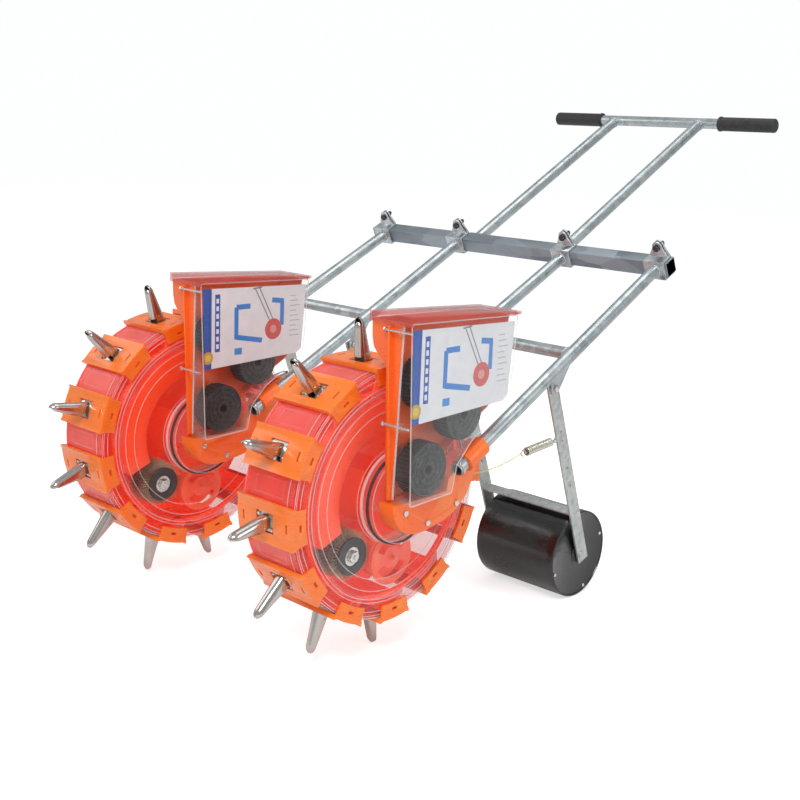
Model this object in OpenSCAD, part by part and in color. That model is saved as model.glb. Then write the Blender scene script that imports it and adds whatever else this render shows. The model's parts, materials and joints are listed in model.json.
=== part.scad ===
// Two-row push seeder: two spiked seed drums under a shared toolbar,
// a twin-tube push handle and a press roller behind each drum.
// Axes: X across the rows, -Y is the travel direction, +Z up.
// Ground is Z = 0. Angles round a drum hub run from +Y towards +Z.

/* [Rows] */
// Distance between the two planted rows
row_gap = 536; // [500:1:620]
// Outer radius of the clear drum rim
rim_r = 220; // [219:0.5:221]
// Width of the clear drum rim
rim_w = 124; // [120:1:126]
// Radius of the spike tips from the drum hub
tip_r = 299; // [297:0.5:303]

/* [Spikes] */
// Number of spikes on each drum
spikes = 12; // [12]
// Angle of the first spike tip on drum A
phase_a = 6; // [5:0.5:7]
// Angle of the first spike tip on drum B
phase_b = 15; // [14:0.5:16]
// Outer width of a spike
spike_w = 25; // [24:0.5:26]
// Sheet thickness of a spike
spike_t = 1.6; // [1.2:0.1:1.8]

/* [Seed metering] */
// Teeth of the internal ring gear in the drum
ring_teeth = 90; // [90]
// Teeth of the pinion on the metering roller
pinion_teeth = 30; // [30]
// Gear module
gear_m = 4; // [4]
// Radius of the seed roller body
meter_r = 40; // [36:0.5:40]

/* [Frame] */
// Diameter of the fork and handle tubes
tube_d = 25; // [22:0.5:26]
// Wall of the fork and handle tubes
tube_wall = 2; // [1.5:0.1:2.5]
// Side of the square toolbar
bar_s = 32; // [30:1:34]
// Length of the toolbar
bar_len = 831; // [825:1:840]
// Rubber grip diameter
grip_d = 33; // [30:0.5:36]

/* [Press roller] */
// Press roller radius
press_r = 88; // [86:0.5:88]
// Press roller length
press_w = 192; // [180:1:192]
// Width of the flat roller arms
arm_w = 30; // [26:1:32]

/* [Hidden] */

$fn = 64;
pitch = 360 / spikes;
tip = [9.2, tip_r - 0.2];              // spike tip in the spike frame
lead = 2;                              // spikes lean forward by this angle
hub_z = norm(tip) * cos(phase_a - lead + atan2(tip[0], tip[1])); // one tip of drum A on the ground
off_x = -6.12;                          // places the origin under the middle of the machine
off_y = -485.23;
fork_a = 26.1;                         // rise of the fork tubes
bar_y = 702.7; bar_z = 356;            // toolbar centre from the hub axis
hand_y = 1249.9; hand_z = 650;         // T-bar centre from the hub axis
fork_len = 701.7;                      // toolbar centre to the tube ends
xi = -114;                             // inner fork tube, from the drum middle
xo = 120; xs = 142;                    // outer fork tube at the bar and at its socket
orange = "#FF5A14"; red = "#F2330F"; zinc = "#B8C4C4"; steel = "#C8CCCC"; clear = [0.9,0.93,0.95,0.35];

// Drum middle frames and the shared hub frame
module hubf() translate([off_x, off_y, hub_z]) children();
module unit(s) hubf() translate([s * row_gap / 2, 0, 0]) children();
module both() { unit(1) children(); unit(-1) children(); }
// Local x,y,z become world Y,Z,X: plane shapes are drawn in (Y,Z) and extruded along X
module ax() rotate([90, 0, 90]) children();
module slab(p, x0, x1) ax() translate([0, 0, x0]) linear_extrude(x1 - x0) polygon(p);
// Rod along X
module rodx(y, z, x0, x1, d, n = 48) translate([x0, y, z]) rotate([0, 90, 0]) cylinder(d = d, h = x1 - x0, $fn = n);
// Frame of spike i, local X across, Y tangent (forward), Z outward
module at_spike(a) rotate([a - 90, 0, 0]) rotate([0, 0, 180]) children();
// Rod between two points
module link(p, q, d, n = 48) {
  v = q - p; l = norm(v);
  translate(p) rotate([0, acos(v[2] / l), atan2(v[1], v[0])]) cylinder(d = d, h = l, $fn = n);
}
// Inset of a closed outline by d, outline given clockwise (Y right, Z up)
function unitv(v) = v / norm(v);
function inn(a, b) = let (e = unitv(b - a)) [e[1], -e[0]];
function inset(p, d) = [for (i = [0:len(p) - 1]) let (a = p[(i + len(p) - 1) % len(p)], b = p[i], c = p[(i + 1) % len(p)],
  n1 = inn(a, b), n2 = inn(b, c)) b + d * (n1 + n2) / (1 + n1 * n2)];
// Axis point of the outer and inner fork tubes at distance s from the toolbar centre
function fpt(s) = [bar_y - s * cos(fork_a), bar_z - s * sin(fork_a)];
function fox(s) = xo + (xs - xo) * s / fork_len;

// ---------------------------------------------------------------- frame
module barf() hubf() translate([0, bar_y, bar_z]) rotate([fork_a, 0, 0]) children();
clamp_x = [-(row_gap / 2) + xi, -(row_gap / 2) + xo, row_gap / 2 + xi, row_gap / 2 + xo];

module toolbar() color(zinc) barf() difference() {
  cube([bar_len, bar_s, bar_s], center = true);
  cube([bar_len + 2, bar_s - 5, bar_s - 5], center = true);
}

// Two handle tubes and the T-bar, welded
module handle_frame() color(zinc) {
  ha = atan2(hand_z - bar_z, hand_y - bar_y);
  hl = norm([hand_y - bar_y, hand_z - bar_z]);
  hubf() difference() {
    union() {
      for (x = [-109, 138]) translate([x, bar_y, bar_z]) rotate([ha, 0, 0]) translate([0, bar_s / 2 + 0.6, 0])
        rotate([-90, 0, 0]) cylinder(d = tube_d, h = hl - bar_s / 2);
      rodx(hand_y, hand_z, -287, 336, tube_d, 64);
      // weld pads on the back of the toolbar
      for (x = [-109, 138]) translate([x, bar_y, bar_z]) rotate([fork_a, 0, 0]) translate([-17, bar_s / 2 + 0.1, -15]) cube([34, 3, 30]);
    }
    for (x = [-109, 138]) translate([x, bar_y, bar_z]) rotate([ha, 0, 0]) translate([0, bar_s / 2 + 4, 0])
      rotate([-90, 0, 0]) cylinder(d = tube_d - 2 * tube_wall, h = hl - bar_s / 2 - 18);
    rodx(hand_y, hand_z, -290, 340, tube_d - 2 * tube_wall, 64);
  }
}

// Rubber grips, closed at the outer end
module grip(l) {
  rotate([0, 90, 0]) difference() {
    rotate_extrude($fn = 64) polygon([[0, 0], [grip_d / 2 - 3, 0], [grip_d / 2, 3], [grip_d / 2, l - 6],
      [grip_d / 2 + 1.5, l - 5], [grip_d / 2 + 1.5, l - 1], [grip_d / 2 + 0.5, l], [0, l]]);
    translate([0, 0, 3.2]) cylinder(d = tube_d + 0.1, h = l);
  }
}
module handle_grips() color("#1A1A1C") hubf() {
  translate([-290.5, hand_y, hand_z]) grip(143);
  translate([339.5, hand_y, hand_z]) mirror([1, 0, 0]) grip(147);
}

// U-shaped clamp: front plate, top and bottom plates, a pair of ears
module clamp_one() {
  g = 0.15; t = 4; h = bar_s / 2 + g;
  difference() {
    union() {
      translate([-24, -h - t, -h - t]) cube([48, t, 2 * (h + t)]);
      translate([-24, -h - 0.1, h]) cube([48, 2 * h - 4, t]);
      translate([-24, -h - 0.1, -h - t]) cube([48, 2 * h + 0.1, t]);
      for (y = [2, 10]) translate([0, y, h + t - 0.5]) rotate([-90, 0, 0]) linear_extrude(t)
        polygon([[-22, 0.5], [-12, -18], [-10, -24], [10, -24], [12, -18], [22, 0.5]]);
      for (y = [2, 10]) translate([0, y, h + t + 22]) rotate([-90, 0, 0]) cylinder(r = 10.5, h = t);
    }
    translate([0, -5, h + t + 20]) rotate([-90, 0, 0]) cylinder(d = 8.4, h = 40);
  }
}
module clamp_brackets() color(steel) barf() for (x = clamp_x) translate([x, 0, 0]) clamp_one();
module clamp_bolts() color("#3A3A3C") barf() for (x = clamp_x) translate([x, 0, bar_s / 2 + 24.15]) rotate([-90, 0, 0]) {
  translate([0, 0, -4]) cylinder(d = 8, h = 30);
  translate([0, 0, -3.9]) cylinder(d = 14.5, h = 5.7, $fn = 6);
  translate([0, 0, 14.2]) cylinder(d = 15, h = 6.5, $fn = 6);
}

// Fork of one unit: two tubes, a cross tube and two lugs for the roller yoke
pv = [358, 148];                       // roller yoke pivot (Y, Z) from the hub
function lug(d) = let (s1 = 350, p = fpt(s1), u = [cos(fork_a), sin(fork_a)], n = [sin(fork_a), -cos(fork_a)])
  [p - 30 * u, p + 34 * u, pv + [13, -3], pv + [5, -12], pv + [-8, -11], pv + [-13, 0]];
module fork_tube(x1, x0) {
  e = fpt(fork_len); b = fpt(bar_s / 2 + 4.9);
  link([x1, e[0], e[1]], [x0, b[0], b[1]], tube_d, 64);
}
module fork_bore(x1, x0) {
  e = fpt(fork_len + 5); b = fpt(bar_s / 2 + 9);
  link([x1, e[0], e[1]], [x0, b[0], b[1]], tube_d - 2 * tube_wall, 48);
}
module fork_frames() color(zinc) both() difference() {
  c = fpt(337);
  union() {
    fork_tube(xi, xi);
    fork_tube(xs, xo);
    rodx(c[0], c[1], xi, fox(337), 24, 64);
    slab(lug(0), xi + 6, xi + 10);
    slab(lug(0), fox(350) - 5, fox(350) - 1);
  }
  fork_bore(xi, xi);
  fork_bore(xs, xo);
  rodx(pv[0], pv[1], xi - 5, fox(350) + 8, 8.2);
}

// ---------------------------------------------------------------- stationary core
mc = [120 * cos(-82.4), 120 * sin(-82.4)];   // metering roller centre
bc = [-68, -101];                            // brush wheel centre
module core_housings() color(orange) both() ax() difference() {
  union() {
    // back disc with the hub journal
    translate([0, 0, -62.6]) cylinder(r = 176.5, h = 5.6, $fn = 160);
    translate([0, 0, -64.4]) cylinder(r = 184, h = 1.9, $fn = 160);
    translate([0, 0, -84]) cylinder(r = 24, h = 25);
    // crescent seed guide
    rotate([0, 0, 95]) rotate_extrude(angle = 108, $fn = 160) polygon([[117, -57.2], [119.5, -57.2], [119.5, 54.5], [163.5, 54.5],
      [163.5, -57.2], [166, -57.2], [166, 57], [117, 57]]);
    // feed spout from the hub down to the metering roller
    translate([0, 0, -57.2]) linear_extrude(84) polygon([[-34, 40], [-31, 40], [-26.5, -54], [-29.5, -54]]);
    translate([0, 0, -57.2]) linear_extrude(84) polygon([[38, 40], [41, 40], [41, -54], [38, -54]]);
    // bosses of the metering roller and the brush
    translate([mc[0], mc[1], -57.2]) cylinder(r = 14, h = 5);
    translate([bc[0], bc[1], -57.2]) cylinder(r = 12, h = 34);
  }
  translate([mc[0], mc[1], -70]) cylinder(d = 10.1, h = 30);
  translate([bc[0], bc[1], -40]) cylinder(d = 10, h = 30);
  translate([0, 0, -90]) cylinder(d = 16, h = 40);
}
// Clear front cover with the hub collar the hopper bolts to
module core_covers() color(clear) both() ax() difference() {
  union() {
    rotate_extrude($fn = 160) polygon([[74, 58], [177, 58], [177, 62.6], [184, 62.6], [184, 64.4], [168, 64.4], [166, 61], [78, 61], [78, 94.6], [74, 94.6]]);
    translate([0, 0, 91.6]) difference() { cylinder(r = 77, h = 3, $fn = 120); translate([0, 0, -1]) cylinder(r = 34, h = 6); }
    // feed tube into the core
    translate([0, 0, 30]) difference() { cylinder(r = 37, h = 64); translate([0, 0, -1]) cylinder(r = 34, h = 70); }
    translate([mc[0], mc[1], 55]) cylinder(r = 9, h = 5);
  }
  translate([mc[0], mc[1], 50]) cylinder(d = 8.1, h = 20);
}
// Dark rubber rings on the hub collar
module hub_seals() color("#2B2B2B") both() ax() for (x = [68, 82]) translate([0, 0, x]) difference() {
  cylinder(r = 81.5, h = 5, $fn = 120);
  translate([0, 0, -1]) cylinder(r = 78.1, h = 7, $fn = 120);
}
// Brush that wipes the seed roller: steel core, dark hub ring, bristle body, centre bolt
module brush_wheels() color("#4A4A45") both() ax() translate([bc[0], bc[1], 0]) {
  translate([0, 0, -22]) cylinder(r = 45, h = 60, $fn = 96);
  translate([0, 0, 38.1]) difference() { cylinder(r = 33, h = 5, $fn = 72); translate([0, 0, -1]) cylinder(r = 18, h = 7); }
  translate([0, 0, 38.1]) cylinder(r = 17, h = 3);
  translate([0, 0, 41.2]) cylinder(r = 11, h = 7, $fn = 6);
}

// ---------------------------------------------------------------- metering roller and its gears
module pinion() {
  pr = gear_m * pinion_teeth / 2;
  linear_extrude(12) union() {
    circle(r = pr - 2.4, $fn = 96);
    for (i = [0:pinion_teeth - 1]) rotate(i * 360 / pinion_teeth) polygon([[pr - 3.2, -3.1], [pr + 1.5, -1.7], [pr + 1.5, 1.7], [pr - 3.2, 3.1]]);
  }
}
module metering_roller(ph) color(red) ax() translate([mc[0], mc[1], 0]) rotate([0, 0, ph]) {
  difference() {
    union() {
      translate([0, 0, -50]) pinion();
      translate([0, 0, -25]) cylinder(r = meter_r, h = 62, $fn = 96);
      translate([0, 0, 36]) cylinder(r = 14, h = 14);
      translate([0, 0, -39]) cylinder(r = 20, h = 15);
    }
    // four seed cells
    for (i = [0:3]) rotate(i * 90 + 45) translate([meter_r, 0, 6]) cylinder(r = 9, h = 16);
    translate([0, 0, -51]) cylinder(r = 40, h = 4);
  }
  translate([0, 0, 49.9]) difference() {
    cylinder(r = 49, h = 3, $fn = 96);
    // two curved windows, leaving a bar across the disc
    for (k = [0, 180]) rotate([0, 0, k + 27]) rotate_extrude(angle = 126, $fn = 96) translate([20, -1]) square([17, 6]);
  }
  translate([0, 0, 52]) cylinder(r = 6, h = 2.5);
  translate([0, 0, -59.5]) cylinder(d = 10, h = 15);
  translate([0, 0, 53]) cylinder(d = 8, h = 8.5);
}
module metering_roller_a() unit(1) metering_roller(2.8);
module metering_roller_b() unit(-1) metering_roller(2.8);

// ---------------------------------------------------------------- drum
module drum_shell(ph) color(clear) difference() {
  ax() rotate_extrude($fn = 180) polygon([[177.6, 58], [177.6, 62], [187, 62], [187, 64.4], [192, 64.4], [192, 62], [rim_r, 62], [rim_r, -62],
    [192, -62], [192, -64.4], [187, -64.4], [187, -62], [177.1, -62], [177.1, -58], [rim_r - 3, -58], [rim_r - 3, 58]]);
  for (i = [0:spikes - 1]) at_spike(ph - lead + i * pitch) translate([-8, -9, rim_r - 12]) cube([16, 18, 20]);
}
// Red ring inside the drum: back band, ring gear, seed chutes
module chute_ring(ph) color(red) ax() {
  difference() {
    union() {
      translate([0, 0, -57.4]) difference() { cylinder(r = 216.2, h = 3, $fn = 180); translate([0, 0, -1]) cylinder(r = 181, h = 5, $fn = 180); }
      translate([0, 0, -55.2]) difference() { cylinder(r = 194, h = 17, $fn = 180); translate([0, 0, -1]) cylinder(r = 183, h = 20, $fn = 180); }
      // front band
      translate([0, 0, 44]) difference() { cylinder(r = 186, h = 12.5, $fn = 180); translate([0, 0, -1]) cylinder(r = 183, h = 20, $fn = 180); }
      for (i = [0:spikes - 1]) rotate([0, 0, ph - lead + i * pitch]) {
        // chute floor between pockets: a steep and a shallow face
        translate([0, 0, -55.6]) linear_extrude(111.5) polygon([[184.2, 14], [187, 14], [215, -15], [212.5, -16.5]]);
        translate([0, 0, 52.6]) linear_extrude(2.6) polygon([[184.6, 13], [213.5, -16], [213, 20], [184.4, 33]]);
      }
      for (i = [0:ring_teeth - 1]) rotate([0, 0, i * 360 / ring_teeth]) translate([0, 0, -50])
        linear_extrude(12) polygon([[185.5, -2.9], [184, -2.9], [178.6, -1.7], [178.6, 1.7], [184, 2.9], [185.5, 2.9]]);
    }
  }
}
// Orange saddles bolted over the rim, one for each spike
// Curved strip between radii r0 and r1, half angle h, with a raised bead of height e at both ends
function strip(r0, r1, h, e, n = 10) = concat(
  [for (i = [0:n]) let (t = -h + 2 * h * i / n, r = r1 + (abs(t) > h - 1.4 ? e : 0)) [r * sin(t), r * cos(t)]],
  [for (i = [0:n]) let (t = h - 2 * h * i / n) [r0 * sin(t), r0 * cos(t)]]);
module saddle(a) at_spike(a) difference() {
  union() {
    ax() translate([0, 0, -67]) linear_extrude(134) polygon(strip(rim_r + 0.4, 226, 8.9, 3.4));
    for (k = [0, 1]) mirror([k, 0, 0]) ax() translate([0, 0, 62.5]) linear_extrude(4.2) polygon(strip(197, 224, 8.5, 0));
  }
  translate([-20, -17, 210]) cube([40, 34, 30]);
  // slots near the two sides
  for (k = [-1, 1]) translate([k * 52 - 2, -8, 215]) cube([4, 16, 20]);
  for (k = [-1, 1]) translate([k * 66 - 5, -6, 206]) cube([10, 12, 5]);
}
module saddles(ph) color(orange) for (i = [0:spikes - 1]) saddle(ph - lead + i * pitch);

// ---------------------------------------------------------------- spikes
jy = 4; jz = 236;                      // jaw pin in the spike frame
module spike_body() {
  w = spike_w / 2; t = spike_t;
  side = [[-15, 221.5], [9, 221.5], [11, 242], [13, 292], [11.4, 297.6], [9.2, tip_r - 0.2], [6.6, 297.6], [-14.5, 236]];
  difference() {
    union() {
      for (k = [0, 1]) mirror([k, 0, 0]) ax() translate([0, 0, w - t]) linear_extrude(t) polygon(side);
      ax() translate([0, 0, -w + 0.2]) linear_extrude(2 * w - 0.4) polygon([[-15, 221.5], [-13, 221.5], [-12.6, 236], [8.6, 296.2], [9.2, tip_r - 0.2], [6.6, 297.6], [-14.5, 236]]);
      translate([-18.5, -15.8, 220.5]) cube([37, 31.6, 2]);
    }
    translate([-8, -9, 215]) cube([16, 18, 8]);
    rodx(jy, jz, -20, 20, 3.2, 24);
    for (i = [-1, 1], j = [-1, 1]) translate([i * 15.4, j * 11, 215]) cylinder(d = 3.4, h = 10, $fn = 24);
  }
}
module spike_bodies(ph) color(steel) for (i = [0:spikes - 1]) at_spike(ph - lead + i * pitch) spike_body();
module spike_bolts(ph) color("#8A9090") for (i = [0:spikes - 1]) at_spike(ph - lead + i * pitch)
  for (k = [-1, 1], j = [-1, 1]) translate([k * 15.4, j * 11, 0]) {
    translate([0, 0, 222.6]) cylinder(d = 5.6, h = 2.6, $fn = 6);
    translate([0, 0, rim_r + 0.4]) cylinder(d = 3, h = 4, $fn = 24);
  }
// Swinging jaw of a spike with its hinge pin
module jaw() color(steel) {
  w = spike_w / 2 - spike_t - 0.7; t = spike_t;
  for (k = [0, 1]) mirror([k, 0, 0]) ax() translate([0, 0, w - t]) linear_extrude(t)
    polygon([[-2, 233], [17, 231.5], [16.2, 286], [15.2, 291], [11, 288]]);
  ax() translate([0, 0, -w]) linear_extrude(2 * w) polygon([[15.4, 231.6], [17, 231.5], [16.2, 286], [15.2, 291], [14, 289]]);
  rodx(jy, jz, -spike_w / 2 - 1.4, spike_w / 2 + 1.4, 3.04, 24);
}
module jaw_a(i) unit(1) at_spike(phase_a - lead + (i - 1) * pitch) jaw();
module jaw_b(i) unit(-1) at_spike(phase_b - lead + (i - 1) * pitch) jaw();

// ---------------------------------------------------------------- hopper
// Side outline of the hopper (Y, Z), clockwise
hop = [[-62, 309], [205, 302], [195, 161], [172, 137], [98, 96], [62, 59], [52, 13], [-50, 8]];
// Front outline of the back shell (X, Z), clockwise
hf = [[64, 310], [133, 310], [132, 296], [110, 8], [95, 8], [95, 230], [90, 240], [77, 250], [67, 262], [64, 278]];
hfi = [[66.5, 330], [160, 330], [160, 10.5], [98, 10.5], [98, 231.5], [92, 242], [79, 252], [69.2, 263.5], [66.5, 279]];
module front(p, y0, y1) translate([0, y1, 0]) rotate([90, 0, 0]) linear_extrude(y1 - y0) polygon(p);
// Cutter in front of (right of) the slanted parting face, moved by g
module beyond(g) front([[110 + g, 0], [110 + g, 8], [133 + g, 309], [133 + g, 340], [220, 340], [220, 0]], -120, 260);
module before(g) front([[110 - g, 0], [110 - g, 8], [133 - g, 309], [133 - g, 340], [40, 340], [40, 0]], -120, 260);
// Orange back shell with the arm that wraps under the tank to the tube socket
arm = [[-64, 8], [-63, -8], [-56, -24], [-44, -38], [-27, -48], [-8, -52], [14, -51], [66, -42], [96, -28], [118, -8], [134, 22],
  [150, 50], [120, 66], [104, 62], [84, 40], [70, 30], [66, 7.4], [52, 7.2], [-50, 7]];
module hopper_backs() color(orange) both() difference() {
  union() {
    difference() {
      intersection() { slab(hop, 60, 140); front(hf, -100, 240); }
      intersection() { slab(inset(hop, 2.6), 50, 150); front(hfi, -100, 240); }
      // open top under the lid
      translate([70, -58.9, 298]) cube([100, 251.9, 22]);
      // seed way into the hub
      rodx(0, 42, 90, 100, 50);
    }
    // front flange
    slab([[-70, 302], [-60.5, 302], [-48.5, 12], [-58, 12]], 106, 110);
  }
  // screw holes
  for (z = [295, 142]) rodx(-68, z, 100, 115, 4.2, 24);
}
// Clear tank, open to the back shell and under the lid
module hopper_tanks() color(clear) both() {
  difference() {
    slab(hop, 105, 152);
    slab(inset(hop, 2.6), 100, 149.4);
    before(-0.3);
    translate([100, -58.9, 298]) cube([49.4, 251.9, 22]);
  }
  // lugs for the long screws
  for (q = [[295, 14], [142, 20]]) difference() { translate([135, -74, q[0] - 6]) cube([5, q[1], 12]); rodx(-68, q[0], 130, 145, 4.2, 24); }
}
// Lid with its two hinge knuckles
hy = 210; hz = 303;
module hopper_lid() color([0.95,0.5,0.45,0.45]) {
  difference() {
    union() {
      // hollow cap, deeper at the front
      difference() {
        slab([[-66, 321], [208, 308.8], [208, 303.2], [205, 303.2], [-66, 310.4]], 61, 156);
        slab([[-63.4, 318.4], [205.4, 306.4], [205.4, 302], [-63.4, 308]], 63.6, 153.4);
      }
      slab([[-66, 313.2], [-66, 304], [-63.4, 304], [-63.4, 312]], 61, 156);
      for (x = [84, 128]) {
        rodx(hy, hz, x, x + 14, 8, 32);
        slab([[205.6, 307], [208, 308], [213, 302], [209, 300], [205.6, 303.4]], x, x + 14);
      }
    }
    rodx(hy, hz, 60, 160, 3.1, 32);
  }
}
module hopper_lid_a() unit(1) hopper_lid();
module hopper_lid_b() unit(-1) hopper_lid();
// Spare seed rollers stored in the tank
module spare_rollers() color("#2E3032") both() for (p = [[-2, 62], [-2, 206], [82, 144]]) ax() translate([p[0], p[1], 111.5]) difference() {
  cylinder(r = 46, h = 34, $fn = 96);
  translate([0, 0, -1]) cylinder(r = 8, h = 40);
  for (k = [0:7]) rotate(k * 45) translate([47, 0, 9]) cylinder(r = 8, h = 16, $fn = 32);
  for (k = [0:5]) rotate(k * 60) translate([27, 0, 24]) cylinder(r = 8, h = 12, $fn = 32);
}
// Instruction card inside the tank side
module instruction_cards() color("#EDEFF0") both() slab([[-55, 298], [200, 291], [190, 163], [178, 154], [-50, 144]], 148.2, 149.1);

// ---------------------------------------------------------------- hub brackets
// Inner plate on the drum hub, and the outer arm that carries the hopper; each ends in a tube socket
module hub_brackets() color(orange) both() difference() {
  union() {
    // arm, hollow moulding: face plate, rim and socket
    difference() {
      slab(arm, 95, 128);
      slab([[-52, 2], [-50, -18], [-36, -34], [-10, -44], [60, -36], [90, -22], [108, 0], [104, 20], [84, 26], [62, 2]], 100, 124);
      rodx(0, 0, 94, 101, 60);
    }
    // tube socket
    link([fox(694), fpt(694)[0], fpt(694)[1]] + [0, 12, 6], [fox(630), fpt(630)[0], fpt(630)[1]], tube_d + 11, 64);
    slab([[104, 62], [150, 50], [160, 66], [126, 90], [112, 84]], 121, 128);
    ax() translate([0, 0, -96]) cylinder(r = 32, h = 10);
    ax() translate([0, 0, -92]) cylinder(r = 40, h = 6);
    slab([[-20, -30], [60, -22], [118, 20], [100, 52], [40, 34], [-10, 34]], -98, -90);
    link([xi, fpt(694)[0], fpt(694)[1]] + [0, 12, 6], [xi, fpt(630)[0], fpt(630)[1]], tube_d + 11, 64);
    slab([[80, 24], [130, 30], [142, 60], [110, 76], [84, 56]], -104, -90);
  }
  link([xi, fpt(720)[0], fpt(720)[1]], [xi, fpt(600)[0], fpt(600)[1]], tube_d + 0.4, 64);
  link([fox(720), fpt(720)[0], fpt(720)[1]], [fox(600), fpt(600)[0], fpt(600)[1]], tube_d + 0.4, 64);
  rodx(0, 0, -120, -60, 14.2);
  // screw holes
  for (p = [[-35, -10], [20, -38], [92, -18]]) rodx(p[0], p[1], 90, 140, 5.2, 24);
}
// Fixed bolts, screws and the tube clips
module bolts_and_screws() color("#D0D4D4") both() {
  // hub bolt holding the inner bracket
  rodx(0, 0, -104, -64, 14, 48);
  ax() translate([0, 0, -107]) cylinder(r = 12, h = 8.9, $fn = 6);
  // roller yoke pivots
  rodx(pv[0], pv[1], xi + 3, xi + 23, 8); ax() translate([pv[0], pv[1], xi - 1.6]) cylinder(r = 7, h = 7.4, $fn = 6);
  ax() translate([pv[0], pv[1], xi + 16.4]) cylinder(r = 6.6, h = 6, $fn = 6);
  rodx(pv[0], pv[1], fox(350) - 13, fox(350) + 4, 8); ax() translate([pv[0], pv[1], fox(350) - 0.8]) cylinder(r = 7, h = 5, $fn = 6);
  ax() translate([pv[0], pv[1], fox(350) - 17]) cylinder(r = 6.6, h = 5.6, $fn = 6);
  // arm screws
  for (p = [[-35, -10], [20, -38], [92, -18]]) { rodx(p[0], p[1], 98, 128.2, 5, 24); rodx(p[0], p[1], 128.1, 131, 10, 24); }
  // long screws across the front lugs
  for (z = [295, 142]) { rodx(-68, z, 102, 158, 4, 24); ax() translate([-68, z, 98]) cylinder(r = 4.6, h = 5, $fn = 6); }
  // lid hinge pins
  rodx(hy, hz, 80, 146, 3, 24);
}

// ---------------------------------------------------------------- roller yoke, roller, spring
rc = [488, press_r - hub_z];          // press roller axle
ae = [498, -222.7]; at0 = [354.3, 157.6];
ay_o = fox(350) - 9.7;               // outer arm, right face minus thickness
module flat_arm(x) difference() {
  u = unitv(ae - at0); n = [-u[1], u[0]] * arm_w / 2;
  slab([at0 - n, at0 + n, ae + n, ae - n], x, x + 4);
  for (k = [0.26, 0.31, 0.46, 0.56]) rodx(at0[0] + (ae - at0)[0] * k, at0[1] + (ae - at0)[1] * k, x - 2, x + 8, 5, 24);
  rodx(pv[0], pv[1], x - 2, x + 8, 8.1);
}
module roller_yoke() color(steel) {
  flat_arm(xi + 11);
  flat_arm(ay_o);
  rodx(rc[0], rc[1], xi + 8, ay_o + 7, 16);
  // scraper bar in front of the roller
  translate([0, 459, -116]) rotate([17, 0, 0]) translate([xi + 12, -11, -2]) cube([ay_o - xi - 10, 22, 4]);
}
module roller_yoke_a() unit(1) roller_yoke();
module roller_yoke_b() unit(-1) roller_yoke();
module press_roller() color("#101012") ax() translate([rc[0], rc[1], -73]) difference() {
  union() {
    difference() { cylinder(r = press_r, h = press_w, $fn = 128); translate([0, 0, 4]) cylinder(r = press_r - 4, h = press_w - 8, $fn = 128); }
    cylinder(r = 18, h = press_w);
    for (k = [0:3], z = [-1.2, press_w - 0.5]) rotate(k * 90 + 20) translate([press_r - 8, 0, z]) cylinder(r = 3.5, h = 1.7, $fn = 24);
  }
  translate([0, 0, -5]) cylinder(d = 16.16, h = press_w + 10, $fn = 64);
}
module press_roller_a() unit(1) press_roller();
module press_roller_b() unit(-1) press_roller();
// Extension spring from the outer arm forward to the bracket, coils drawn as a closed sleeve with hooks
module arm_spring() color("#C9C9B0") {
  p = [ay_o - 1.9, 391, 44]; q = [ay_o - 1.9, 138.5, 22];
  v = unitv(q - p);
  link(p + 20 * v, p + 100 * v, 17, 24);
  link(p, p + 21 * v, 3, 16);
  link(p + 99 * v, q, 2.5, 16);
}
module arm_spring_a() unit(1) arm_spring();
module arm_spring_b() unit(-1) arm_spring();

toolbar();
handle_frame();
handle_grips();
clamp_brackets();
clamp_bolts();
fork_frames();
core_housings();
core_covers();
hub_seals();
brush_wheels();
hub_brackets();
hopper_backs();
hopper_tanks();
spare_rollers();
instruction_cards();
bolts_and_screws();
unit(1) drum_shell(phase_a);  // drum_shell_a
unit(1) chute_ring(phase_a);  // chute_ring_a
unit(1) saddles(phase_a);  // saddles_a
unit(1) spike_bodies(phase_a);  // spike_bodies_a
unit(1) spike_bolts(phase_a);  // spike_bolts_a
unit(-1) drum_shell(phase_b);  // drum_shell_b
unit(-1) chute_ring(phase_b);  // chute_ring_b
unit(-1) saddles(phase_b);  // saddles_b
unit(-1) spike_bodies(phase_b);  // spike_bodies_b
unit(-1) spike_bolts(phase_b);  // spike_bolts_b
metering_roller_a();
metering_roller_b();
hopper_lid_a();
hopper_lid_b();
roller_yoke_a();
roller_yoke_b();
press_roller_a();
press_roller_b();
arm_spring_a();
arm_spring_b();
jaw_a(1);  // jaw_a_01
jaw_a(2);  // jaw_a_02
jaw_a(3);  // jaw_a_03
jaw_a(4);  // jaw_a_04
jaw_a(5);  // jaw_a_05
jaw_a(6);  // jaw_a_06
jaw_a(7);  // jaw_a_07
jaw_a(8);  // jaw_a_08
jaw_a(9);  // jaw_a_09
jaw_a(10);  // jaw_a_10
jaw_a(11);  // jaw_a_11
jaw_a(12);  // jaw_a_12
jaw_b(1);  // jaw_b_01
jaw_b(2);  // jaw_b_02
jaw_b(3);  // jaw_b_03
jaw_b(4);  // jaw_b_04
jaw_b(5);  // jaw_b_05
jaw_b(6);  // jaw_b_06
jaw_b(7);  // jaw_b_07
jaw_b(8);  // jaw_b_08
jaw_b(9);  // jaw_b_09
jaw_b(10);  // jaw_b_10
jaw_b(11);  // jaw_b_11
jaw_b(12);  // jaw_b_12
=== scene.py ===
import bpy, bmesh, math, json, random
from mathutils import Vector, Matrix


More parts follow.
